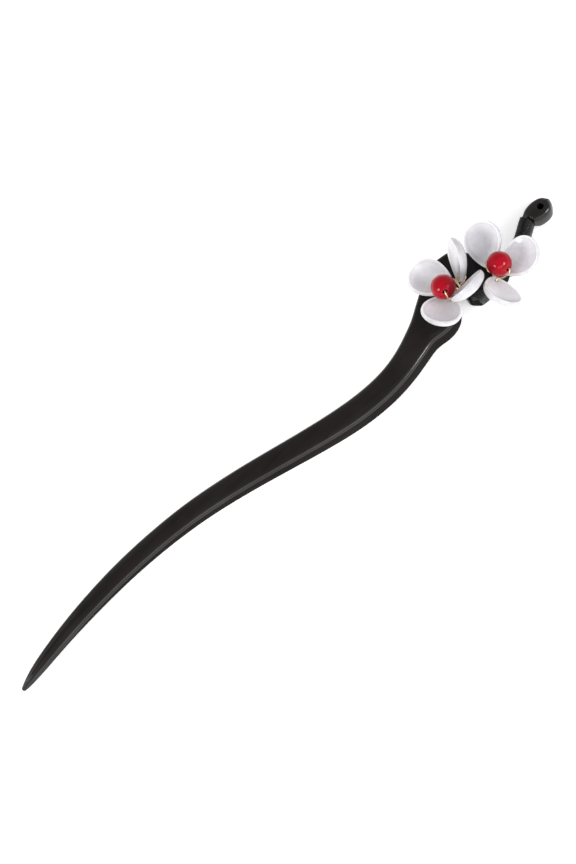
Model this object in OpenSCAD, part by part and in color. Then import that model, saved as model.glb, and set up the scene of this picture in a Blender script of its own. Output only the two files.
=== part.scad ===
// Hair stick of dark wood with two flowers of glass petals and red beads.
// It lies flat: the tip points to -X, the head to +X and the flowers look up.

/* [Stick] */
// Length of the body, from the tip to the start of the head
body_len = 128; // [110:1:150]
// Widest part of the slender body
body_w = 6.5; // [5.5:0.1:8]
// How far the body swings sideways between its two bends
bend_depth = 11.8; // [6:0.1:16]
// Greatest thickness of the wood
stick_t = 6.4; // [5.4:0.1:7.4]
// Rounding along the edges of the wood
edge_r = 1.25; // [0.6:0.05:1.6]
// Rise of the middle of the face above its edges
crown_h = 0.25; // [0.05:0.05:0.5]

/* [Head] */
// Length of the broad head, up to the neck
head_len = 25; // [22:0.5:28]
// Width of the broad head
head_w = 17.6; // [16:0.2:19]
// Length of the neck between head and knob
neck_len = 12; // [10:0.5:15]
// Width of the neck under its thread
neck_w = 3; // [2.4:0.1:4]
// Length of the knob
knob_len = 7.8; // [6.6:0.1:9]
// Width of the knob
knob_w = 6.2; // [5.4:0.1:7.2]
// Thickness of the knob
knob_t = 5.4; // [4.4:0.1:6.2]
// Diameter of the hole that takes a tassel cord
tassel_d = 1.7; // [1:0.1:2.4]

/* [Thread] */
// Diameter of the thread
thread_d = 0.35; // [0.25:0.05:0.45]
// Turns of thread on the neck
neck_turns = 20; // [12:1:26]
// Turns of thread over the lip
lip_turns = 6; // [4:1:8]

/* [Flowers] */
// Length of a petal
petal_len = 12; // [10:0.25:13]
// Width of a petal
petal_w = 10; // [8:0.25:11]
// Wall of a petal
petal_t = 1.5; // [1.1:0.1:1.8]
// Depth of the hollow of a petal
cup_h = 1.7; // [1:0.1:2.4]
// Diameter of the hole drilled near the foot of a petal
petal_hole_d = 1; // [0.8:0.05:1.2]
// Distance of that hole from the foot
petal_hole_in = 1.7; // [1.4:0.1:2.2]
// Diameter of a red bead
bead_d = 6; // [5:0.25:6.5]
// Diameter of the hole through a bead
bead_hole_d = 1; // [0.7:0.05:1.4]
// Diameter of the gold wire
wire_d = 0.35; // [0.25:0.05:0.4]

/* [Placement] */
// Distance of the line from tip to knob from the middle of the part
chord_y = 4.1; // [2:0.1:6]
// Air left between pieces that lie against each other
gap = 0.08; // [0.05:0.01:0.15]

/* [Hidden] */

stick_len = body_len + head_len + neck_len + knob_len;
tip_x = -stick_len / 2;
head_x = tip_x + body_len;
head_y = -0.25 * bend_depth;
neck_x = head_x + head_len;
neck_y = head_y - 0.136 * head_w;
knob_x = neck_x + neck_len;
knob_y = neck_y + 0.46 * neck_len;

// Cross sections of the body from the tip on. Shares of body_len along, of
// bend_depth across, of body_w wide and of stick_t thick.
// Columns: along, across, wide, thick
body_rows = [
    [0, 0.05, 0.13, 0.20],
    [0.02, 0.09, 0.34, 0.33],
    [0.06, 0.18, 0.54, 0.42],
    [0.14, 0.32, 0.68, 0.51],
    [0.24, 0.42, 0.78, 0.58],
    [0.34, 0.44, 0.83, 0.64],
    [0.46, 0.34, 0.87, 0.72],
    [0.58, 0.08, 0.91, 0.79],
    [0.70, -0.26, 0.95, 0.86],
    [0.80, -0.50, 1, 0.92],
    [0.88, -0.56, 1, 0.95],
    [0.94, -0.47, 1.03, 0.98],
    [0.985, -0.32, 1.14, 1]];

// Outline of the head in pairs of edge points, upper edge then lower edge.
// Along in shares of head_len, across in shares of head_w from the head's
// start, the underside and the thickness in shares of stick_t.
// Columns: upper along, upper across, lower along, lower across, lift, thick
head_rows = [
    [0.01, 0.24, 0.06, -0.24, 0, 1],
    [0.12, 0.34, 0.16, -0.26, 0, 1],
    [0.22, 0.43, 0.26, -0.25, 0, 1],
    [0.31, 0.51, 0.35, -0.20, 0, 1],
    [0.39, 0.57, 0.41, -0.12, 0.03, 0.97],
    [0.46, 0.61, 0.44, -0.02, 0.06, 0.94],
    [0.52, 0.64, 0.50, 0.05, 0.08, 0.91],
    [0.58, 0.66, 0.565, 0.01, 0.09, 0.87],
    [0.63, 0.66, 0.56, -0.09, 0.09, 0.86],
    [0.68, 0.65, 0.57, -0.17, 0.09, 0.86],
    [0.74, 0.63, 0.64, -0.21, 0.09, 0.86],
    [0.80, 0.57, 0.74, -0.215, 0.09, 0.85],
    [0.85, 0.47, 0.84, -0.225, 0.09, 0.84],
    [0.90, 0.31, 0.91, -0.23, 0.08, 0.82],
    [0.94, 0.14, 0.96, -0.22, 0.09, 0.77],
    [0.97, 0.01, 1, -0.19, 0.10, 0.70]];

// Neck: shares of neck_len along and across from its start, of neck_w wide,
// lift and thickness in shares of stick_t, and the slant of its run.
// Columns: along, across, wide, lift, thick, slant
neck_rows = [
    [0.12, 0.12, 1.06, 0.10, 0.65, 14],
    [0.40, 0.19, 0.98, 0.10, 0.63, 20],
    [0.68, 0.30, 0.97, 0.10, 0.63, 29],
    [0.94, 0.47, 0.95, 0.09, 0.66, 28]];

// Knob: edge points in shares of knob_len along and knob_w across from its
// start, lift and thickness in shares of knob_t.
// Columns: upper along, upper across, lower along, lower across, lift, thick
knob_rows = [
    [0.06, 0.38, 0.13, -0.10, 0.09, 0.84],
    [0.20, 0.44, 0.24, -0.24, 0.03, 0.96],
    [0.40, 0.49, 0.42, -0.32, 0, 1],
    [0.60, 0.48, 0.64, -0.33, 0, 1],
    [0.78, 0.42, 0.82, -0.26, 0.02, 0.97],
    [0.93, 0.31, 0.94, -0.11, 0.09, 0.82],
    [1, 0.16, 1, 0.02, 0.25, 0.50]];

// Place of the tassel hole in the knob, shares of knob_len and knob_w
hole_along = 0.62;
hole_across = 0.05;

function dir(a) = [cos(a), sin(a)];
function mid_at(i) = [tip_x + body_rows[i][0] * body_len, body_rows[i][1] * bend_depth];
function run_at(i) =
    let (last = len(body_rows) - 1, a = mid_at(max(i - 1, 0)), b = mid_at(min(i + 1, last)))
    (b - a) / norm(b - a);

// Each row becomes upper point, lower point, underside and thickness.
function body_rail(i) =
    let (m = mid_at(i), t = run_at(i), h = body_rows[i][2] * body_w / 2)
    [m[0] - t[1] * h, m[1] + t[0] * h, m[0] + t[1] * h, m[1] - t[0] * h, 0, body_rows[i][3] * stick_t];
function head_rail(r) =
    [head_x + r[0] * head_len, head_y + r[1] * head_w, head_x + r[2] * head_len, head_y + r[3] * head_w,
     r[4] * stick_t, r[5] * stick_t];
function neck_rail(r) =
    let (m = [neck_x + r[0] * neck_len, neck_y + r[1] * neck_len], t = dir(r[5]), h = r[2] * neck_w / 2)
    [m[0] - t[1] * h, m[1] + t[0] * h, m[0] + t[1] * h, m[1] - t[0] * h, r[3] * stick_t, r[4] * stick_t];
function knob_rail(r) =
    [knob_x + r[0] * knob_len, knob_y + r[1] * knob_w, knob_x + r[2] * knob_len, knob_y + r[3] * knob_w,
     r[4] * knob_t, r[5] * knob_t];

rails = concat([for (i = [0 : len(body_rows) - 1]) body_rail(i)],
               [for (r = head_rows) head_rail(r)],
               [for (r = neck_rows) neck_rail(r)],
               [for (r = knob_rows) knob_rail(r)]);
last_rail = len(rails) - 1;
head_at = len(body_rows);
neck_at = head_at + len(head_rows);
knob_at = neck_at + len(neck_rows);

// Smooth curve through a list of points, u counts points.
function curve(p, u) =
    let (n = len(p) - 1, i = min(floor(u), n - 1), t = u - i,
         a = p[max(i - 1, 0)], b = p[i], c = p[i + 1], d = p[min(i + 2, n)])
    0.5 * (2 * b + (c - a) * t + (2 * a - 5 * b + 4 * c - d) * t * t + (3 * b - a - 3 * c + d) * t * t * t);

// Rounded outline of half width w between heights z0 and z1, corners of r,
// and a top that rises by rise in the middle. Points are across and up.
arc_steps = 3;
face_steps = 4;
function outline(w, z0, z1, r, rise, tops) =
    concat(
        [for (i = [0 : arc_steps]) let (q = 90 * i / arc_steps) [w - r + r * sin(q), z0 + r - r * cos(q)]],
        [for (i = [0 : arc_steps]) let (q = 90 * i / arc_steps) [w - r + r * cos(q), z1 - r + r * sin(q)]],
        [for (i = [1 : tops - 1]) let (k = 1 - 2 * i / tops) [(w - r) * k, z1 + rise * (1 - k * k)]],
        [for (i = [0 : arc_steps]) let (q = 90 * i / arc_steps) [-w + r - r * sin(q), z1 - r + r * cos(q)]],
        [for (i = [0 : arc_steps]) let (q = 90 * i / arc_steps) [-w + r - r * cos(q), z0 + r - r * sin(q)]]);

// The outline stood up between two points of the plan.
function stand(pts, a, b) =
    let (m = (a + b) / 2, v = (a - b) / norm(a - b))
    [for (p = pts) [m[0] + v[0] * p[0], m[1] + v[1] * p[0], p[1]]];

// Section of the wood at u, grown outward by g.
function ring(u, g, tops) =
    let (s = curve(rails, u), a = [s[0], s[1]], b = [s[2], s[3]], half = norm(a - b) / 2, low = max(s[4], 0),
         rise = min(crown_h, 0.12 * s[5]), r = min(edge_r, 0.46 * (s[5] - rise), 0.9 * half))
    stand(outline(half + g, low - g, low + s[5] - rise + g, r + g, rise, tops), a, b);

// Closed skin over a list of rings, capped at both ends by a fan from the
// middle of the ring.
module skin(rings) {
    n = len(rings[0]);
    m = len(rings);
    even = [for (i = [1 : n]) 1 / n];
    polyhedron(
        points = concat([for (r = rings) each r], [even * rings[0], even * rings[m - 1]]),
        faces = concat(
            [for (i = [0 : n - 1]) [m * n, i, (i + 1) % n]],
            [for (k = [0 : m - 2], i = [0 : n - 1]) let (j = (i + 1) % n)
                each [[k * n + i, (k + 1) * n + j, k * n + j], [k * n + i, (k + 1) * n + i, (k + 1) * n + j]]],
            [for (i = [0 : n - 1]) [m * n + 1, (m - 1) * n + (i + 1) % n, (m - 1) * n + i]]),
        convexity = 8);
}

// Tube wall between a list of outer rings and a list of inner rings.
module sleeve(outer, inner) {
    n = len(outer[0]);
    a = len(outer);
    b = len(inner);
    all = concat(outer, [for (i = [b - 1 : -1 : 0]) inner[i]]);
    m = a + b;
    polyhedron(
        points = [for (r = all) each r],
        faces = [for (k = [0 : m - 1], i = [0 : n - 1])
            let (j = (i + 1) % n, l = (k + 1) % m)
            each [[k * n + i, l * n + j, k * n + j], [k * n + i, l * n + i, l * n + j]]],
        convexity = 6);
}

module in_place() {
    translate([0, chord_y, 0]) children();
}

knob_hole = [knob_x + hole_along * knob_len, knob_y + hole_across * knob_w];

module stick() {
    color([0.06, 0.055, 0.05])
    in_place() difference() {
        skin([for (k = [0 : 2 * last_rail]) ring(k / 2, 0, face_steps)]);
        translate([knob_hole[0], knob_hole[1], -1])
            cylinder(h = knob_t + 2, d = tassel_d, $fn = 24);
    }
}

// Thread on the neck: each turn is a low ridge round the wood.
wrap_from = neck_at - 1;
wrap_to = knob_at;
thread_air = 2 * gap;
module neck_thread() {
    span = wrap_to - wrap_from;
    steps = 2 * neck_turns;
    color([0.04, 0.04, 0.05])
    in_place() sleeve(
        [for (k = [0 : steps]) ring(wrap_from + span * k / steps, thread_air + thread_d * (k % 2 == 0 ? 0.7 : 1), 2)],
        [for (k = [0 : 2 * span]) ring(wrap_from + k / 2, thread_air, 2)]);
}

// Thread over the lip: each turn spans from the wall of the notch to the
// outer edge, between two points of the wood's own lower edge, counted in
// rows of the head. The turns fan out from the first pair to the last.
lip_air = 2.6 * gap;
lip_first = [8, 9.8];
lip_last = [7.2, 11.2];
function low_point(u) = let (s = curve(rails, head_at + u)) [s[2], s[3]];
function lip_turn(f, g) =
    let (e = lip_first * (1 - f) + lip_last * f, a = low_point(e[0]), b = low_point(e[1]),
         s = curve(rails, head_at + e[0]))
    stand(outline(norm(a - b) / 2 + g, s[4] - g, s[4] + s[5] + g, 0.2 * edge_r + g, 0, 2), a, b);
module lip_thread() {
    steps = 2 * lip_turns;
    color([0.04, 0.04, 0.05])
    in_place() sleeve(
        [for (k = [0 : steps]) lip_turn(k / steps, lip_air + thread_d * (k % 2 == 0 ? 0.7 : 1))],
        [for (k = [0 : 2]) lip_turn(k / 2, lip_air)]);
}

// Places of the two flowers on the head, shares of head_len and head_w.
left_at = [head_x + 0.53 * head_len, head_y];
right_at = [head_x + 0.89 * head_len, head_y - 0.145 * head_w];

// Petals of each flower. The hole near the foot stands off from the flower's
// place by shares of petal_len, and its height is counted from the face of
// the wood. The last three turn the petal from foot to tip.
// Columns: off x, off y, up, azimuth, elevation, roll
left_petals = [
    [-0.11, 0.18, 0.25, 115, 5, 8],
    [-0.28, -0.01, 0.12, 210, 30, -5],
    [0.22, 0.20, 0.18, 38, 52, -55],
    [-0.15, -0.165, 0.36, 320, 45, -40]];
right_petals = [
    [0.05, 0.22, 0.18, 55, 20, -20],
    [0.20, -0.12, 0.15, 340, 20, -5],
    [-0.15, -0.18, 0.15, 250, 25, -45]];

// Beads: place of the middle from the flower's place and the face of the
// wood in shares of bead_d, then the way its bore points.
// Columns: off x, off y, up, azimuth, elevation
left_bead_at = [-0.48, 0.16, 1.25, 250, 40];
right_bead_at = [0.25, -0.22, 1.05, 280, 10];

// Turns a point by roll about X, then up by elevation, then round by azimuth.
function turned(p, az, el, roll) =
    let (y = p[1] * cos(roll) - p[2] * sin(roll), z = p[1] * sin(roll) + p[2] * cos(roll),
         x2 = p[0] * cos(el) - z * sin(el), z2 = p[0] * sin(el) + z * cos(el))
    [x2 * cos(az) - y * sin(az), x2 * sin(az) + y * cos(az), z2];
function petal_point(place, r, p) =
    [place[0] + r[0] * petal_len, place[1] + r[1] * petal_len, stick_t + r[2] * petal_len]
    + turned(p, r[3], r[4], r[5]);

// Outline of a petal from foot (0 degrees) round the tip, in shares.
petal_sides = 24;
foot_blunt = 0.6;
widest = max([for (q = [0 : 2 : 180]) sin(q) * pow(sin(q / 2), foot_blunt)]);
function edge(q) = [(1 - cos(q)) / 2, sin(q) * pow(sin(q / 2), foot_blunt) / (2 * widest)];
bowl_at = 0.6;

// Rings of a petal from the hollow over the rim to the back.
// Columns: reach from the middle of the bowl, share of cup_h, share of petal_t
petal_rows = [
    [0.40, 0.13, 1],
    [0.68, 0.43, 1],
    [0.86, 0.77, 1],
    [0.96, 0.98, 0.92],
    [1, 1, 0.52],
    [0.97, 0.91, 0.10],
    [0.82, 0.56, 0],
    [0.45, 0.13, 0]];
function foot_share(q) = 1 - 0.5 * pow((1 + cos(q)) / 2, 2);
hole_up = 0.30 * cup_h + petal_t / 2;
function petal_ring(row) =
    [for (i = [0 : petal_sides - 1])
        let (q = 360 * i / petal_sides, e = edge(q))
        [(bowl_at + (e[0] - bowl_at) * row[0]) * petal_len - petal_hole_in,
         e[1] * row[0] * petal_w,
         row[1] * cup_h * foot_share(q) + row[2] * petal_t - hole_up]];

module petal(place, r) {
    rings = [for (row = petal_rows) petal_ring(row)];
    n = petal_sides;
    m = len(rings);
    middle = bowl_at * petal_len - petal_hole_in;
    at = petal_point(place, r, [0, 0, 0]);
    color([0.93, 0.93, 0.95])
    in_place() translate(at) rotate([r[5], -r[4], r[3]]) difference() {
        polyhedron(
            points = concat([for (g = rings) each g],
                            [[middle, 0, petal_t - hole_up], [middle, 0, -hole_up]]),
            faces = concat(
                [for (i = [0 : n - 1]) [m * n, i, (i + 1) % n]],
                [for (k = [0 : m - 2], i = [0 : n - 1]) let (j = (i + 1) % n)
                    each [[k * n + i, (k + 1) * n + j, k * n + j], [k * n + i, (k + 1) * n + i, (k + 1) * n + j]]],
                [for (i = [0 : n - 1]) [m * n + 1, (m - 1) * n + (i + 1) % n, (m - 1) * n + i]]),
            convexity = 4);
        translate([0, 0, -petal_t - cup_h])
            cylinder(h = 2 * (petal_t + cup_h), d = petal_hole_d, $fn = 20);
    }
}

module left_petal_1() { petal(left_at, left_petals[0]); }
module left_petal_2() { petal(left_at, left_petals[1]); }
module left_petal_3() { petal(left_at, left_petals[2]); }
module left_petal_4() { petal(left_at, left_petals[3]); }
module right_petal_1() { petal(right_at, right_petals[0]); }
module right_petal_2() { petal(right_at, right_petals[1]); }
module right_petal_3() { petal(right_at, right_petals[2]); }

function bead_middle(place, b) =
    [place[0] + b[0] * bead_d, place[1] + b[1] * bead_d, stick_t + b[2] * bead_d];
module bead(place, b) {
    color([0.72, 0.02, 0.05])
    in_place() translate(bead_middle(place, b)) rotate([0, -b[4], b[3]]) difference() {
        sphere(d = bead_d, $fn = 48);
        rotate([0, 90, 0]) cylinder(h = bead_d + 2, d = bead_hole_d, center = true, $fn = 24);
    }
}
module left_bead() { bead(left_at, left_bead_at); }
module right_bead() { bead(right_at, right_bead_at); }

// Round wire along a smooth curve through points, one short piece between each
// two rings. Each ring is turned no more than the wire itself turns, so that
// the wire never twists.
function along(p, u) =
    let (d = 0.01, n = len(p) - 1, v = curve(p, min(u + d, n)) - curve(p, max(u - d, 0))) v / norm(v);
function square_to(v, t) = let (w = v - t * (v * t)) w / norm(w);
function cross_ring(at, t, n, r, sides) =
    let (b = cross(t, n))
    [for (i = [0 : sides - 1]) let (q = 360 * i / sides) at + r * (cos(q) * n + sin(q) * b)];
module run(p, d, sides, steps) {
    last = (len(p) - 1) * steps;
    first = along(p, 0);
    start = square_to(abs(first[2]) < 0.8 ? [0, 0, 1] : [1, 0, 0], first);
    rings = [for (k = 0, n = start; k <= last; k = k + 1, n = square_to(n, along(p, min(k, last) / steps)))
        cross_ring(curve(p, k / steps), along(p, k / steps), n, d / 2, sides)];
    for (k = [0 : last - 1])
        hull() polyhedron(points = concat(rings[k], rings[k + 1]),
                          faces = [[for (i = [0 : sides - 1]) i], [for (i = [0 : sides - 1]) sides + i]]);
}

// Wire from the knot under the foot of a petal, up through its hole, over the
// foot and back to the knot.
loop_air = 0.16;
module petal_loop(place, r, knot) {
    half = petal_t / 2 + loop_air + wire_d / 2;
    foot = -petal_hole_in - loop_air - wire_d / 2;
    lift = 0.2 * cup_h;
    run([knot - [0, 0, 0.2],
         petal_point(place, r, [foot - 0.1, 0, lift - 0.2 * half]),
         petal_point(place, r, [0.75 * foot, 0, -0.62 * half]),
         petal_point(place, r, [0, 0, -half]),
         petal_point(place, r, [0, 0, half]),
         petal_point(place, r, [0.65 * foot, 0, lift + half]),
         petal_point(place, r, [foot - 0.15, 0, lift + 0.4 * half]),
         knot + [0, 0, 0.2]], wire_d, 5, 2);
}

// Wire from the knot through the bead and back over one side of it. The side
// is an azimuth and an elevation, rise and fall are stops seen from the knot.
module bead_run(knot, place, b, side, rise, fall) {
    c = bead_middle(place, b);
    r = bead_d / 2;
    way = turned([1, 0, 0], b[3], b[4], 0);
    over = square_to(turned([1, 0, 0], side[0], side[1], 0), way);
    run(concat([knot], [for (q = rise) knot + q],
               [for (q = [-1.15, -0.6, 0.6]) c + q * r * way],
               [for (q = [0, 35, 75, 110]) c + (r + wire_d / 2 + loop_air) * (cos(q) * way + sin(q) * over)],
               [for (q = fall) knot + q], [knot]),
        wire_d, 5, 2);
}

// The knots stand above the face of the wood, and the stems run down from them.
stem_d = 3 * wire_d;
left_knot_up = 1.6;
right_knot_up = 1.9;
left_knot = [left_at[0] + 0.15, left_at[1] + 0.15, stick_t + left_knot_up];
right_knot = [right_at[0] + 0.2, right_at[1] + 0.1, stick_t + right_knot_up];

// Side over which the wire comes back from a bead: azimuth and elevation
left_side = [250, -48];
right_side = [190, -40];

module left_wire() {
    color([0.80, 0.58, 0.30])
    in_place() union() {
        run([left_knot + [0, 0.1, 0.4], left_knot - [0.3, 0.2, 0.8], left_knot - [0.8, 0.6, 1.8],
             left_knot - [1, 0.8, 2.6]], stem_d, 8, 2);
        for (r = left_petals) petal_loop(left_at, r, left_knot);
        bead_run(left_knot, left_at, left_bead_at, left_side,
                 [[0.5, 0.5, 1.4], [0.5, 1.5, 2.9], [-0.7, 2.8, 3.8]],
                 [[-3.4, 0.2, 1.8], [-2.3, 0.2, 0.8], [-1, -0.1, 0.3]]);
    }
}
module right_wire() {
    color([0.80, 0.58, 0.30])
    in_place() union() {
        run([right_knot + [0, 0, 0.3], right_knot + [0.4, -0.1, -0.9], right_knot + [2.1, -0.1, -1.9],
             right_knot + [3.9, 0.5, -2.3], right_knot + [5.9, 1.4, -2.45]], stem_d, 8, 2);
        for (r = right_petals) petal_loop(right_at, r, right_knot);
        bead_run(right_knot, right_at, right_bead_at, right_side,
                 [[0.6, 0.6, 1.2], [0.9, 1.4, 2.6]],
                 [[-0.7, -1.5, 1.3], [-0.3, -0.7, 0.6]]);
    }
}

stick();
neck_thread();
lip_thread();
left_petal_1();
left_petal_2();
left_petal_3();
left_petal_4();
right_petal_1();
right_petal_2();
right_petal_3();
left_bead();
right_bead();
left_wire();
right_wire();
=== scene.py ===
import math

import bpy
from mathutils import Matrix, Vector


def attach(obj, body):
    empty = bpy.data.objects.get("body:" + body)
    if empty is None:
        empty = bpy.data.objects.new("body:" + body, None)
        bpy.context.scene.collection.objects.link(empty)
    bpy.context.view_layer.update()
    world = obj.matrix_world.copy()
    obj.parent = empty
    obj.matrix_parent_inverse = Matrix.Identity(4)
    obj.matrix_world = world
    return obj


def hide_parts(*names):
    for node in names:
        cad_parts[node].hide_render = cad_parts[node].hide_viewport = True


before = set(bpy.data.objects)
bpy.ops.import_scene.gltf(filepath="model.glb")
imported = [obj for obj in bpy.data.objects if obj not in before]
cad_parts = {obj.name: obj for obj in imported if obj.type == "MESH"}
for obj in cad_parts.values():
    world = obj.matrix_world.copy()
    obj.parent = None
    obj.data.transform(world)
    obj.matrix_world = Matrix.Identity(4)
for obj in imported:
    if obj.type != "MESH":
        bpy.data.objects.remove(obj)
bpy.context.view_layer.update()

MM = 0.001
UP = Vector((0, 0, 1))


# Sizes of the part, in millimetres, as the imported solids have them

STICK_T = 6.4
ENDS_FROM = 86.3
CHORD_Y = 4.1
PETAL_LEN = 12.0
PETAL_T = 1.5
CUP_H = 1.7
PETAL_HOLE_IN = 1.7
BEAD_D = 6.0
BEAD_HOLE_D = 1.0
KNOB_HOLE = (83.436, 0.486)
KNOB_FROM = 79.8
KNOB_T = 5.4
TASSEL_D = 1.7
THREAD_D = 0.4
WIRE_D = 0.35
LOOP_AIR = 0.16

# Small forms that the finished pieces add, in millimetres

KNOB_SWELL = 0.1
HOLE_EASE_IN, HOLE_EASE_OUT = 0.1, 0.5
BEAD_EASE = 0.12
THREAD_LIFT = 0.08
KNOT_HALF = 0.2

# How far the wood is polished, as a share of its coat

KNOB_POLISH = 0.9
WALL_POLISH = 0.08
FOOT_POLISH = 0.35
TOP_DULLING = 0.58

# Painted light and shade on a petal: the wall painted darker, the upward faces and the hollow
# lighter, a painted highlight along the rim and a painted dark line under it, with the depths
# under the rim where they lie

WALL_PAINTED_SHADE = 0.04
UPWARD_PAINTED_LIGHT = 0.25
HOLLOW_PAINTED_LIGHT = 0.26
# A painted highlight along the rim, and the depths under the rim over which it fades
RIM_PAINTED_HIGHLIGHT = 0.34
RIM_HIGHLIGHT_DEPTHS = (0.15, 0.36)
# A painted dark line under the rim, in place of the glass's refraction of its edges: its
# strength, depth and half width
PAINTED_DARK_LINE = 0.17
PAINTED_LINE_DEPTH = 0.5
PAINTED_LINE_HALF = 0.2

# The two flowers, in millimetres and degrees

# A row of a petal or a bead is off x, off y and up in shares of the petal's length or the bead,
# then azimuth, elevation and roll. The wire comes back over the side "over" of the bead. Its
# stops up to the bead, down from it and along the stem are seen from the knot.
FLOWERS = {
    "left": {
        "at": (54.85, -2.95),
        "knot": Vector((55.0, -2.8, STICK_T + 1.6)),
        "petals": [(-0.11, 0.18, 0.25, 115, 5, 8), (-0.28, -0.01, 0.12, 210, 30, -5),
                   (0.22, 0.20, 0.18, 38, 52, -55), (-0.15, -0.165, 0.36, 320, 45, -40)],
        "bead": (-0.48, 0.16, 1.25, 250, 40),
        "over": (250, -48),
        "rise": [(0.5, 0.5, 1.4), (0.5, 1.5, 2.9), (-0.7, 2.8, 3.8)],
        "fall": [(-3.4, 0.2, 1.8), (-2.3, 0.2, 0.8), (-1, -0.1, 0.3)],
        "stem": [(0, 0.1, 0.4), (-0.3, -0.2, -0.8), (-0.8, -0.6, -1.8), (-1, -0.8, -2.5)]},
    "right": {
        "at": (63.85, -5.502),
        "knot": Vector((64.05, -5.402, STICK_T + 1.9)),
        "petals": [(0.05, 0.22, 0.18, 55, 20, -20), (0.20, -0.12, 0.15, 340, 20, -5),
                   (-0.15, -0.18, 0.15, 250, 25, -45)],
        "bead": (0.25, -0.22, 1.05, 280, 10),
        "over": (190, -40),
        "rise": [(0.6, 0.6, 1.2), (0.9, 1.4, 2.6)],
        "fall": [(-0.7, -1.5, 1.3), (-0.3, -0.7, 0.6)],
        "stem": [(0, 0, 0.3), (0.4, -0.1, -0.9), (2.1, -0.1, -1.9), (3.9, 0.5, -2.3),
                 (5.9, 1.4, -2.45)]}}

# The two windings of thread, in millimetres and degrees

# The line that the neck's thread is wound about: x, y, z and the slant of the turn
NECK_LINE = [(66.4, -4.5, 2.7, 12), (68.0, -3.9, 2.7, 14), (71.4, -3.05, 2.7, 20),
             (74.8, -1.75, 2.7, 29), (77.9, 0.3, 2.7, 28), (79.2, 0.95, 2.7, 18)]
NECK_STOPS = 20
# The ends of the first and the last turn over the lip, on the two sides of the wood
LIP_FIRST = ((55.95, -4.75), (57.3, -6.7))
LIP_LAST = ((55.85, -3.2), (60.7, -7.15))
LIP_MIDDLE_Z = 3.2
LIP_TURNS = 9
LIP_STOPS = 24


def turning(azimuth, elevation, roll=0):
    """The turn by roll about X, up by elevation, then round by azimuth."""
    return (Matrix.Rotation(math.radians(azimuth), 3, "Z")
            @ Matrix.Rotation(math.radians(-elevation), 3, "Y")
            @ Matrix.Rotation(math.radians(roll), 3, "X"))


def turned(point, *angles):
    return turning(*angles) @ Vector(point)


def row_point(flower, row, size):
    """Where a row of a flower puts its petal's hole or its bead's middle."""
    x, y = flower["at"]
    return Vector((x + row[0] * size, y + row[1] * size, STICK_T + row[2] * size))


def petal_point(flower, row, point):
    """A point of a petal, seen from its hole, in the part's place."""
    return row_point(flower, row, PETAL_LEN) + turned(point, *row[3:])


def cup_height(share):
    """How high a petal's wall stands, from its tip at 0 to its foot at 1."""
    return CUP_H * (0.7 - 0.5 * share * share)


def placed(point):
    """A point in millimetres, seen from the line of the stick, in the frame's metres."""
    return (Vector(point) + Vector((0, CHORD_Y, 0))) * MM


def between_steps(value, low, high):
    """A value as a share of the way from low to high, from 0 to 1."""
    return min(max((value - low) / (high - low), 0), 1)


# Modelling by hand

def none_selected():
    bpy.ops.object.select_all(action="DESELECT")


def only(obj):
    """Selects one object alone and makes it the active one."""
    none_selected()
    obj.select_set(True)
    bpy.context.view_layer.objects.active = obj


def editing(on):
    bpy.ops.object.mode_set(mode="EDIT" if on else "OBJECT")


def pick(obj, kind, wanted):
    """Selects those vertices, edges or faces of the mesh for which wanted is true."""
    mode = {"vertices": "VERT", "edges": "EDGE", "polygons": "FACE"}[kind]
    bpy.ops.mesh.select_mode(type=mode)
    bpy.ops.mesh.select_all(action="DESELECT")
    editing(False)
    for part in getattr(obj.data, kind):
        part.select = bool(wanted(part))
    editing(True)


def apply_modifier(obj, kind, **settings):
    """Adds one modifier, sets it and applies it."""
    only(obj)
    bpy.ops.object.modifier_add(type=kind)
    modifier = obj.modifiers[-1]
    for name, value in settings.items():
        setattr(modifier, name, value)
    bpy.ops.object.modifier_apply(modifier=modifier.name)


def smooth(obj, levels):
    apply_modifier(obj, "SUBSURF", levels=levels, render_levels=levels)


def take_out(obj, drill):
    """Cuts the drill's form out of a piece and throws the drill away."""
    apply_modifier(obj, "BOOLEAN", operation="DIFFERENCE", object=drill, solver="EXACT")
    bpy.data.objects.remove(drill)


def settle(obj):
    """Puts the object's place into its mesh."""
    only(obj)
    bpy.ops.object.transform_apply(location=True, rotation=True, scale=True)


def copy_of(node, name):
    """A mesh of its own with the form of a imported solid, merged and in quads."""
    obj = bpy.data.objects.new(name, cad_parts[node].data.copy())
    bpy.context.collection.objects.link(obj)
    obj.data.materials.clear()
    only(obj)
    editing(True)
    bpy.ops.mesh.select_all(action="SELECT")
    bpy.ops.mesh.remove_doubles(threshold=2e-6)
    bpy.ops.mesh.tris_convert_to_quads(face_threshold=math.radians(40),
                                       shape_threshold=math.radians(60))
    editing(False)
    return obj


def crease_sharp(obj, angle):
    """Keeps the edges that turn by more than an angle sharp when it is smoothed."""
    only(obj)
    editing(True)
    bpy.ops.mesh.select_mode(type="EDGE")
    bpy.ops.mesh.select_all(action="DESELECT")
    bpy.ops.mesh.edges_select_sharp(sharpness=math.radians(angle))
    bpy.ops.transform.edge_crease(value=1)
    editing(False)


def shade_soft(obj, angle=50):
    only(obj)
    bpy.ops.object.shade_smooth_by_angle(angle=math.radians(angle))


def point_values(obj, name, value_of):
    """Gives each point of a piece a value of its own, which its finish reads."""
    layer = obj.data.attributes.new(name, "FLOAT", "POINT")
    for vertex, entry in zip(obj.data.vertices, layer.data):
        entry.value = value_of(vertex)


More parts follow.
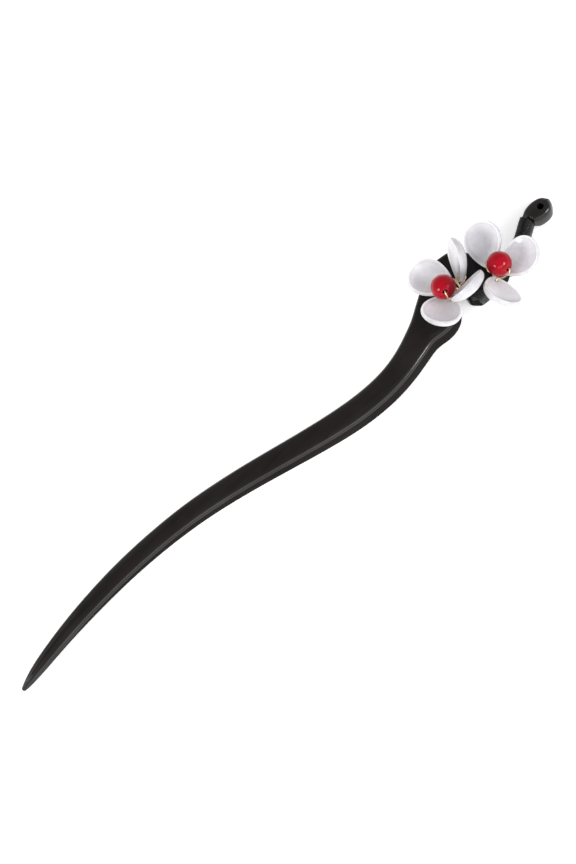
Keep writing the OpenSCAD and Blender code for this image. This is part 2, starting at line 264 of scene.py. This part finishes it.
def wire_through(name, runs, width, resolution=4, sides=2):
    """Round wire or thread drawn point by point through runs of points, in millimetres."""
    made = []
    for points in runs:
        none_selected()
        bpy.ops.curve.primitive_nurbs_path_add(radius=MM, location=(0, 0, 0))
        line = bpy.context.object
        editing(True)
        bpy.ops.curve.select_all(action="SELECT")
        bpy.ops.curve.delete(type="VERT")
        for point in points:
            bpy.ops.curve.vertex_add(location=placed(point))
        bpy.ops.curve.select_all(action="SELECT")
        bpy.ops.curve.spline_type_set(type="BEZIER")
        bpy.ops.curve.handle_type_set(type="AUTOMATIC")
        editing(False)
        line.data.resolution_u = resolution
        line.data.bevel_depth = width / 2 * MM
        line.data.bevel_resolution = sides
        line.data.use_fill_caps = True
        only(line)
        bpy.ops.object.convert(target="MESH")
        editing(True)
        bpy.ops.mesh.select_all(action="SELECT")
        bpy.ops.mesh.remove_doubles(threshold=1e-7)
        editing(False)
        made.append(bpy.context.object)
    none_selected()
    for obj in made:
        obj.select_set(True)
    bpy.context.view_layer.objects.active = made[0]
    if len(made) > 1:
        bpy.ops.object.join()
    obj = bpy.context.object
    obj.name = name
    settle(obj)
    return obj


def stands_for(obj, node, finish):
    """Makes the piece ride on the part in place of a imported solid."""
    obj.data.materials.clear()
    obj.data.materials.append(finish)
    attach(obj, "root")
    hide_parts(node)


# Finishes

class Shade:
    """A socket of a finish, so that maths on it reads as a plain expression."""

    def __init__(self, socket):
        self.socket = socket

    def node(self, kind, settings=None, inputs=None, out=0):
        """A node of the same finish: its settings first, then values or links."""
        tree = self.socket.id_data
        made = tree.nodes.new("ShaderNode" + kind)
        for name, value in (settings or {}).items():
            setattr(made, name, value)
        for name, value in (inputs or {}).items():
            if isinstance(value, Shade):
                tree.links.new(value.socket, made.inputs[name])
            else:
                made.inputs[name].default_value = value
        return Shade(made.outputs[out])

    def math(self, operation, *values):
        return self.node("Math", {"operation": operation}, dict(enumerate(values)))

    def __add__(self, other):
        return self.math("ADD", self, other)

    def __sub__(self, other):
        return self.math("SUBTRACT", self, other)

    def __rsub__(self, other):
        return self.math("SUBTRACT", other, self)

    def __mul__(self, other):
        return self.math("MULTIPLY", self, other)

    __radd__ = __add__
    __rmul__ = __mul__

    def clipped(self, low, high):
        """This value as a share of the way from low to high, from 0 to 1."""
        ends = {"Value": self, "From Min": low, "From Max": high}
        return self.node("MapRange", {"clamp": True}, ends)

    def stretched(self, scale):
        """These coordinates scaled along each axis."""
        return self.node("Mapping", None, {"Vector": self, "Scale": scale})

    def noise(self, scale, detail=2.0, roughness=0.5, distortion=0.0):
        return self.node("TexNoise", None, {"Vector": self, "Scale": scale, "Detail": detail,
                                            "Roughness": roughness, "Distortion": distortion})

    def point_value(self, name):
        """The value that the piece's own points carry under a name."""
        return self.node("Attribute", {"attribute_name": name}, None, "Fac")

    def between(self, dark, light):
        """A colour that goes from dark to light with this value."""
        ends = {0: self, 6: (*dark, 1), 7: (*light, 1)}
        return self.node("Mix", {"data_type": "RGBA"}, ends, 2)

    def bump(self, distance, strength=1.0):
        return self.node("Bump", None,
                         {"Height": self, "Distance": distance, "Strength": strength})


def new_finish(name, **constants):
    """A finish with its own constants, and the coordinates that its pattern reads."""
    material = bpy.data.materials.new(name)
    material.use_nodes = True
    surface = material.node_tree.nodes["Principled BSDF"]
    for socket, value in constants.items():
        surface.inputs[socket.replace("_", " ")].default_value = value
    where = Shade(surface.outputs[0]).node("TexCoord", None, None, "Object")
    return material, where


def wears(material, **values):
    """Leads what varies over a finish to the surface."""
    surface = material.node_tree.nodes["Principled BSDF"]
    for socket, value in values.items():
        material.node_tree.links.new(value.socket, surface.inputs[socket.replace("_", " ")])


def dark_wood():
    material, where = new_finish("dark_wood", Specular_IOR_Level=0.0, Coat_IOR=1.5,
                                 Coat_Roughness=0.17)
    grain = where.stretched((60, 900, 500)).noise(1.0, 5, 0.6, 0.4)
    pores = where.stretched((400, 5200, 3000)).noise(1.0, 3, 0.6)
    patches = where.noise(90, 3)
    tone = (grain * 0.6 + patches * 0.4).clipped(0.35, 0.68)
    polish = where.point_value("polish")
    wears(material,
          Base_Color=tone.between((0.0060, 0.0050, 0.0047), (0.0135, 0.0102, 0.0092)),
          Roughness=0.3 + grain.clipped(0.3, 0.75) * 0.15,
          Coat_Weight=polish * (0.7 + patches.clipped(0.3, 0.7) * 0.3),
          Normal=(pores * 0.5 + grain * 0.6).bump(0.00002, 0.5))
    return material


def wound_thread():
    material, where = new_finish("black_thread", Specular_IOR_Level=0.35)
    fibres = where.noise(6500, 3, 0.6)
    strands = where.noise(900, 2, 0.5)
    tone = strands.clipped(0.35, 0.65)
    wears(material,
          Base_Color=tone.between((0.001, 0.001, 0.0011), (0.005, 0.0049, 0.005)),
          Roughness=0.46 - strands.clipped(0.45, 0.6) * 0.3,
          Normal=(fibres * 0.5 + strands).bump(0.00008, 0.7))
    return material


def milk_glass():
    material, where = new_finish("milk_glass", Subsurface_Weight=0.8,
                                 Subsurface_Radius=(1.0, 0.96, 1.0), Subsurface_Scale=0.0025,
                                 IOR=1.5, Specular_IOR_Level=0.2,
                                 Coat_Weight=0.5, Coat_Roughness=0.03)
    cloud = where.noise(170, 3, 0.55, 0.6)
    speck = where.noise(900, 2, 0.5)
    waves = where.noise(380, 2, 0.5, 0.8)
    veins = where.noise(520, 3, 0.6, 1.6)
    # The points' tone carries the petal's painted light and shade; the cloud and the veins are
    # the glass's own uneven tone
    tone = (where.point_value("tone") + cloud.clipped(0.32, 0.7) * 0.14
            + veins.clipped(0.35, 0.65) * 0.12)
    wears(material,
          Base_Color=tone.between((0.42, 0.418, 0.436), (0.85, 0.849, 0.877)),
          Roughness=0.12 + speck.clipped(0.35, 0.7) * 0.08,
          Normal=(cloud * 0.6 + waves * 0.4 + speck * 0.06).bump(0.0005, 0.5))
    return material


def red_glass():
    material, where = new_finish("red_glass", Subsurface_Weight=0.1,
                                 Subsurface_Radius=(1.0, 0.1, 0.1), Subsurface_Scale=0.0006,
                                 IOR=1.5, Specular_IOR_Level=0.2)
    cloud = where.noise(420, 3, 0.55, 0.5)
    speck = where.noise(2600, 2)
    tone = cloud.clipped(0.3, 0.7)
    wears(material,
          Base_Color=tone.between((0.30, 0.0003, 0.007), (0.38, 0.0005, 0.013)),
          Roughness=0.06 + speck.clipped(0.35, 0.7) * 0.04,
          Normal=cloud.bump(0.00004, 0.15))
    return material


def gold_wire():
    material, where = new_finish("gold_wire", Metallic=1.0)
    speck = where.noise(3500, 3, 0.6)
    tone = where.noise(600, 2).clipped(0.3, 0.7)
    wears(material,
          Base_Color=tone.between((0.80, 0.54, 0.32), (0.92, 0.70, 0.48)),
          Roughness=0.2 + speck.clipped(0.3, 0.7) * 0.16,
          Normal=speck.bump(0.00002, 0.3))
    return material


def pale_floor():
    material, where = new_finish("pale_floor", Roughness=0.85, Specular_IOR_Level=0.2,
                                 Emission_Color=(1, 1, 1, 1), Emission_Strength=0.45)
    tone = where.noise(12, 2)
    wears(material, Base_Color=tone.between((0.93, 0.93, 0.93), (0.95, 0.95, 0.95)))
    return material


# Pieces

def wood_polish(vertex):
    """The wood is polished along its eased edges and on the knob, and less at its foot."""
    height, facing_up = vertex.co.z / MM, vertex.normal.z
    dulled = TOP_DULLING * between_steps(facing_up, 0.9, 0.99)
    edge = between_steps(facing_up, 0.1, 0.35) * (1 - dulled)
    foot = FOOT_POLISH * (1 - between_steps(height, 0.6, 1.8))
    return max(edge, KNOB_POLISH if vertex.co.x > KNOB_FROM * MM else WALL_POLISH, foot)


def carved_stick(finish):
    """The wood, plugged, smoothed, then drilled through the knob and eased at the hole."""
    obj = copy_of("stick", "carved_stick")
    hole = placed((*KNOB_HOLE, 0))
    reach = TASSEL_D / 2 * MM

    def by_hole(face, times):
        return (face.center.xy - hole.xy).length < times * reach

    only(obj)
    editing(True)
    pick(obj, "polygons", lambda f: abs(f.normal.z) < 0.5 and by_hole(f, 1.1))
    bpy.ops.mesh.delete(type="FACE")
    bpy.ops.mesh.select_all(action="SELECT")
    bpy.ops.mesh.fill_holes(sides=0)
    for flat in (lambda f: f.normal.z > 0.9 and by_hole(f, 1.5),
                 lambda f: f.normal.z < -0.9 and by_hole(f, 1.5),
                 lambda f: f.center.x < -ENDS_FROM * MM and abs(f.normal.x) > 0.95,
                 lambda f: f.center.x > ENDS_FROM * MM and abs(f.normal.x) > 0.95):
        pick(obj, "polygons", flat)
        bpy.ops.mesh.dissolve_faces()
    pick(obj, "vertices",
         lambda v: v.co.x > KNOB_FROM * MM and abs(v.normal.z) < 0.85 and v.normal.x < 0.7)
    bpy.ops.transform.shrink_fatten(value=KNOB_SWELL * MM)
    editing(False)
    smooth(obj, 2)
    none_selected()
    bpy.ops.mesh.primitive_cylinder_add(vertices=48, radius=reach, depth=20 * MM,
                                        location=hole)
    take_out(obj, bpy.context.object)
    narrow, wide = reach - HOLE_EASE_IN * MM, reach + HOLE_EASE_OUT * MM
    for height, low, high in ((KNOB_T, narrow, wide), (0, wide, narrow)):
        none_selected()
        bpy.ops.mesh.primitive_cone_add(vertices=48, radius1=low, radius2=high,
                                        depth=(HOLE_EASE_IN + HOLE_EASE_OUT) * MM,
                                        location=hole + Vector((0, 0, height * MM)))
        take_out(obj, bpy.context.object)
    shade_soft(obj, 40)
    point_values(obj, "polish", wood_polish)
    stands_for(obj, "stick", finish)
    return obj


def glass_petal(node, flower, row, finish):
    """A cupped petal with a round rim and a drilled foot, with light and shade painted into the
    tone of its hollow and its wall.
    """
    obj = copy_of(node, node + "_glass")
    crease_sharp(obj, 62)
    smooth(obj, 3)
    shade_soft(obj, 60)
    ahead, up = turned((1, 0, 0), *row[3:]), turned((0, 0, 1), *row[3:])
    hole = petal_point(flower, row, (0, 0, 0)) + Vector((0, CHORD_Y, 0))

    # The points' tone is painted light and shade: the wall painted darker, the upward faces and
    # the hollow painted lighter
    def tone(vertex):
        seen = vertex.co / MM - hole
        share = 1 - (seen.dot(ahead) + PETAL_HOLE_IN) / PETAL_LEN
        depth = cup_height(share) + PETAL_T / 2 - seen.dot(up)
        spoke = seen - ahead * (PETAL_LEN / 2 - PETAL_HOLE_IN)
        inward = -vertex.normal.dot((spoke - up * spoke.dot(up)).normalized())
        hollow = between_steps(inward, -0.5, 0.1)
        facing_up = between_steps(vertex.normal.dot(up), -0.2, 0.7)
        # A painted highlight along the inner side of the rim
        rim = RIM_PAINTED_HIGHLIGHT * hollow * (1 - between_steps(depth, *RIM_HIGHLIGHT_DEPTHS))
        # A painted dark line under the rim, in place of the glass's refraction of its edges
        line = PAINTED_DARK_LINE * max(1 - abs(depth - PAINTED_LINE_DEPTH) / PAINTED_LINE_HALF, 0)
        return WALL_PAINTED_SHADE + facing_up * (UPWARD_PAINTED_LIGHT + HOLLOW_PAINTED_LIGHT * hollow) + rim - line

    # The painted light and shade is kept on the points as their tone
    point_values(obj, "tone", tone)
    stands_for(obj, node, finish)


def drilled_bead():
    """A round bead along X about the middle, drilled and eased at its mouths."""
    none_selected()
    bpy.ops.mesh.primitive_uv_sphere_add(segments=48, ring_count=32, radius=BEAD_D / 2 * MM)
    obj = bpy.context.object
    editing(True)
    mouth = 1.15 * BEAD_HOLE_D / 2 * MM
    pick(obj, "vertices", lambda v: v.co.xy.length < mouth)
    bpy.ops.mesh.delete(type="VERT")
    bpy.ops.mesh.select_mode(type="EDGE")
    bpy.ops.mesh.select_all(action="DESELECT")
    bpy.ops.mesh.select_non_manifold()
    bpy.ops.mesh.bridge_edge_loops(number_cuts=4)
    bpy.ops.mesh.select_all(action="DESELECT")
    bpy.ops.mesh.edges_select_sharp(sharpness=math.radians(50))
    bpy.ops.mesh.bevel(offset=BEAD_EASE * MM, segments=3, affect="EDGES")
    bpy.ops.mesh.select_all(action="SELECT")
    bpy.ops.mesh.normals_make_consistent(inside=False)
    editing(False)
    obj.rotation_euler = (0, math.pi / 2, 0)
    settle(obj)
    return obj


def glass_bead(pattern, node, flower, finish):
    obj = bpy.data.objects.new(node + "_glass", pattern.data.copy())
    bpy.context.collection.objects.link(obj)
    row = flower["bead"]
    middle = placed(row_point(flower, row, BEAD_D))
    obj.matrix_world = Matrix.Translation(middle) @ turning(*row[3:]).to_4x4()
    settle(obj)
    shade_soft(obj)
    stands_for(obj, node, finish)


def petal_loop(flower, row):
    """The stops of one turn of wire from the knot through a petal's hole and back."""
    half = PETAL_T / 2 + LOOP_AIR + WIRE_D / 2
    foot = -PETAL_HOLE_IN - LOOP_AIR - WIRE_D / 2
    lift = cup_height(1)
    stops = [(foot - 0.1, 0, lift - 0.2 * half), (0.75 * foot, 0, -0.62 * half),
             (0, 0, -half), (0, 0, half),
             (0.65 * foot, 0, lift + half), (foot - 0.15, 0, lift + 0.4 * half)]
    turn = [petal_point(flower, row, stop) for stop in stops]
    return [flower["knot"] - UP * KNOT_HALF, *turn, flower["knot"] + UP * KNOT_HALF]


def bead_loop(flower):
    """The stops of the wire from the knot through the bead and back over its side."""
    knot, row = flower["knot"], flower["bead"]
    middle = row_point(flower, row, BEAD_D)
    radius = BEAD_D / 2
    way = turned((1, 0, 0), *row[3:])
    over = turned((1, 0, 0), *flower["over"])
    over = (over - way * way.dot(over)).normalized()
    out = radius + WIRE_D / 2 + LOOP_AIR
    through = [middle + q * radius * way for q in (-1.15, -0.6, 0.6)]
    arc = [middle + out * (math.cos(math.radians(q)) * way + math.sin(math.radians(q)) * over)
           for q in (0, 35, 75, 110)]
    rise, fall = ([knot + Vector(stop) for stop in flower[leg]] for leg in ("rise", "fall"))
    return [knot, *rise, *through, *arc, *fall, knot]


def twisted(points, turns, width, strands=3):
    """The stops of a few strands twisted round a line of points."""
    runs = []
    count = len(points) - 1
    stops = 8
    reach = 0.58 * width
    for s in range(strands):
        run = []
        for k in range(stops * turns + 1):
            u = count * k / (stops * turns)
            i = min(int(u), count - 1)
            here = points[i].lerp(points[i + 1], u - i)
            ahead = (points[i + 1] - points[i]).normalized()
            side = ahead.cross(Vector((0.3, 1, 0.2))).normalized()
            angle = 2 * math.pi * (k / stops + s / strands)
            run.append(here + reach * (math.cos(angle) * side
                                       + math.sin(angle) * ahead.cross(side)))
        runs.append(run)
    return runs


def flower_wire(node, flower, finish):
    """The gold wire of a flower: a loop for each petal, one for the bead, and the stem."""
    loops = [petal_loop(flower, row) for row in flower["petals"]] + [bead_loop(flower)]
    stem = [flower["knot"] + Vector(stop) for stop in flower["stem"]]
    obj = wire_through(node + "_twist", loops + twisted(stem, 2 * len(stem), WIRE_D), WIRE_D)
    shade_soft(obj)
    stands_for(obj, node, finish)


def step_lengths(line):
    """The lengths between the points of a line, which may hold a slant too."""
    return [(Vector(b[:3]) - Vector(a[:3])).length for a, b in zip(line, line[1:])]


def on_line(line, share):
    """The point at a share of the length of a line of points, with its slant."""
    steps = step_lengths(line)
    left = share * sum(steps)
    for a, b, step in zip(line, line[1:], steps):
        if left <= step or b is line[-1]:
            return Vector(a).lerp(Vector(b), min(left / step, 1))
        left -= step


def turn_point(wood, middle, across, angle):
    """Where thread lies on the wood, seen from a middle inside it at an angle of its turn."""
    way = math.cos(angle) * across + math.sin(angle) * UP
    _, spot, normal, _ = wood.ray_cast(placed(middle), way)
    return spot / MM - Vector((0, CHORD_Y, 0)) + normal * (THREAD_LIFT + THREAD_D / 2)


def lay_thread(name, node, points, finish):
    obj = wire_through(name, [points], THREAD_D, 2, 1)
    shade_soft(obj, 80)
    stands_for(obj, node, finish)


def neck_winding(wood, finish):
    """One thread wound side by side along the neck, from the head to the knob."""
    count = round(sum(step_lengths(NECK_LINE)) / THREAD_D) * NECK_STOPS
    points = []
    for k in range(count + 1):
        *middle, slant = on_line(NECK_LINE, k / count)
        across = Vector((-math.sin(math.radians(slant)), math.cos(math.radians(slant)), 0))
        points.append(turn_point(wood, middle, across, 2 * math.pi * k / NECK_STOPS))
    lay_thread("neck_winding", "neck_thread", points, finish)


def lip_winding(wood, finish):
    """Turns of thread that fan out over the lip of the notch."""
    count = LIP_TURNS * LIP_STOPS
    points = []
    for k in range(count + 1):
        inner, outer = (Vector(a).lerp(Vector(b), k / count)
                        for a, b in zip(LIP_FIRST, LIP_LAST))
        middle = (*((inner + outer) / 2), LIP_MIDDLE_Z)
        across = (outer - inner).normalized().to_3d()
        points.append(turn_point(wood, middle, across, 2 * math.pi * k / LIP_STOPS))
    lay_thread("lip_winding", "lip_thread", points, finish)


wood = dark_wood()
thread = wound_thread()
glass = milk_glass()
red = red_glass()
gold = gold_wire()

stick = carved_stick(wood)
for side, flower in FLOWERS.items():
    for number, row in enumerate(flower["petals"], 1):
        glass_petal(f"{side}_petal_{number}", flower, row, glass)
bead = drilled_bead()
for side, flower in FLOWERS.items():
    glass_bead(bead, side + "_bead", flower, red)
bpy.data.objects.remove(bead)
for side, flower in FLOWERS.items():
    flower_wire(side + "_wire", flower, gold)
neck_winding(stick, thread)
lip_winding(stick, thread)


# Floor, light and camera

none_selected()
bpy.ops.mesh.primitive_plane_add(size=6, location=(0, 0, -0.0002))
floor = bpy.context.object
floor.name = "floor"
floor.data.materials.append(pale_floor())

world = bpy.data.worlds.new("studio")
bpy.context.scene.world = world
world.use_nodes = True
sky = world.node_tree.nodes["Background"]
sky.inputs["Color"].default_value = (1, 1, 1, 1)
direction = Shade(sky.outputs[0]).node("TexCoord", None, None, "Generated")
height = direction.node("SeparateXYZ", None, {"Vector": direction}, "Z")
glow = 0.8 - height.clipped(0.1, 0.9) * 0.3
world.node_tree.links.new(glow.socket, sky.inputs["Strength"])

LIT_AT = Vector((0.03, 0, 0))
LIGHT_DISTANCE = 0.9


def softbox(name, towards, wide, tall, power):
    """An oval soft light that looks at the flowers."""
    spot = LIT_AT + Vector(towards).normalized() * LIGHT_DISTANCE
    bpy.ops.object.light_add(type="AREA", location=spot)
    light = bpy.context.object
    light.name = name
    light.data.shape = "ELLIPSE"
    light.data.size = wide
    light.data.size_y = tall
    light.data.energy = power
    light.rotation_euler = (spot - LIT_AT).to_track_quat("Z", "Y").to_euler()


softbox("soft_left", (-0.82, -0.07, 0.575), 0.34, 0.34, 4.3)
softbox("soft_right", (0.46, -0.73, 0.507), 0.3, 0.3, 3.4)
softbox("soft_low", (-0.2, -0.82, 0.545), 1.3, 0.36, 2.5)

AZIMUTH, ELEVATION, ROLL = (math.radians(q) for q in (-4.62, 65, -38.31))
DISTANCE = 576 * MM
SEEN_AT = Vector((2.255, 6.632, 3.0)) * MM
back = Vector((math.sin(AZIMUTH) * math.cos(ELEVATION), -math.cos(AZIMUTH) * math.cos(ELEVATION),
               math.sin(ELEVATION)))
level = Vector((math.cos(AZIMUTH), math.sin(AZIMUTH), 0))
right = Matrix.Rotation(ROLL, 3, back) @ level
axes = Matrix((right, back.cross(right), back)).transposed()
bpy.ops.object.camera_add()
camera = bpy.context.object
camera.data.lens = 100
camera.data.sensor_width = 36
camera.data.clip_start = 0.01
camera.matrix_world = Matrix.Translation(SEEN_AT + back * DISTANCE) @ axes.to_4x4()
bpy.context.scene.camera = camera
bpy.context.scene.view_settings.view_transform = "Standard"
